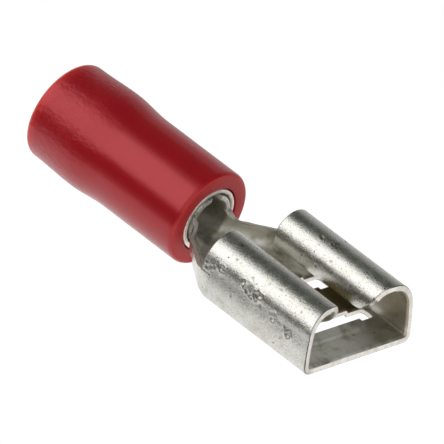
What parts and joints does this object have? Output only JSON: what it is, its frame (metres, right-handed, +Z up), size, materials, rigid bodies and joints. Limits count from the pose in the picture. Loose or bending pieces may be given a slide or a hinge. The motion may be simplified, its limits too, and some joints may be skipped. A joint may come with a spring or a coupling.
{
  "type": "female spade terminal",
  "caption": "Crimp-on female spade terminal: a red insulating sleeve over a wire barrel, joined by a tapering neck to a flat receptacle with inward-curled sides that grips a tab.",
  "frame": {"origin": "on the wire barrel's axis, at the wire-entry end of the insulating sleeve", "axes": "+X along the barrel towards the receptacle's mouth, +Z up on the side of the two curls, +Y across the receptacle"},
  "size_m": [0.0204, 0.0076, 0.0054],
  "materials": {
    "pvc": "red PVC, slightly glossy",
    "tinned_tube": "bright tin plating",
    "tinned_sheet": "bright tin plating over brass sheet"
  },
  "bodies": {
    "root": {"insulating_sleeve": "pvc", "support_sleeve": "tinned_tube", "terminal_body": "tinned_sheet"}
  },
  "joints": []
}
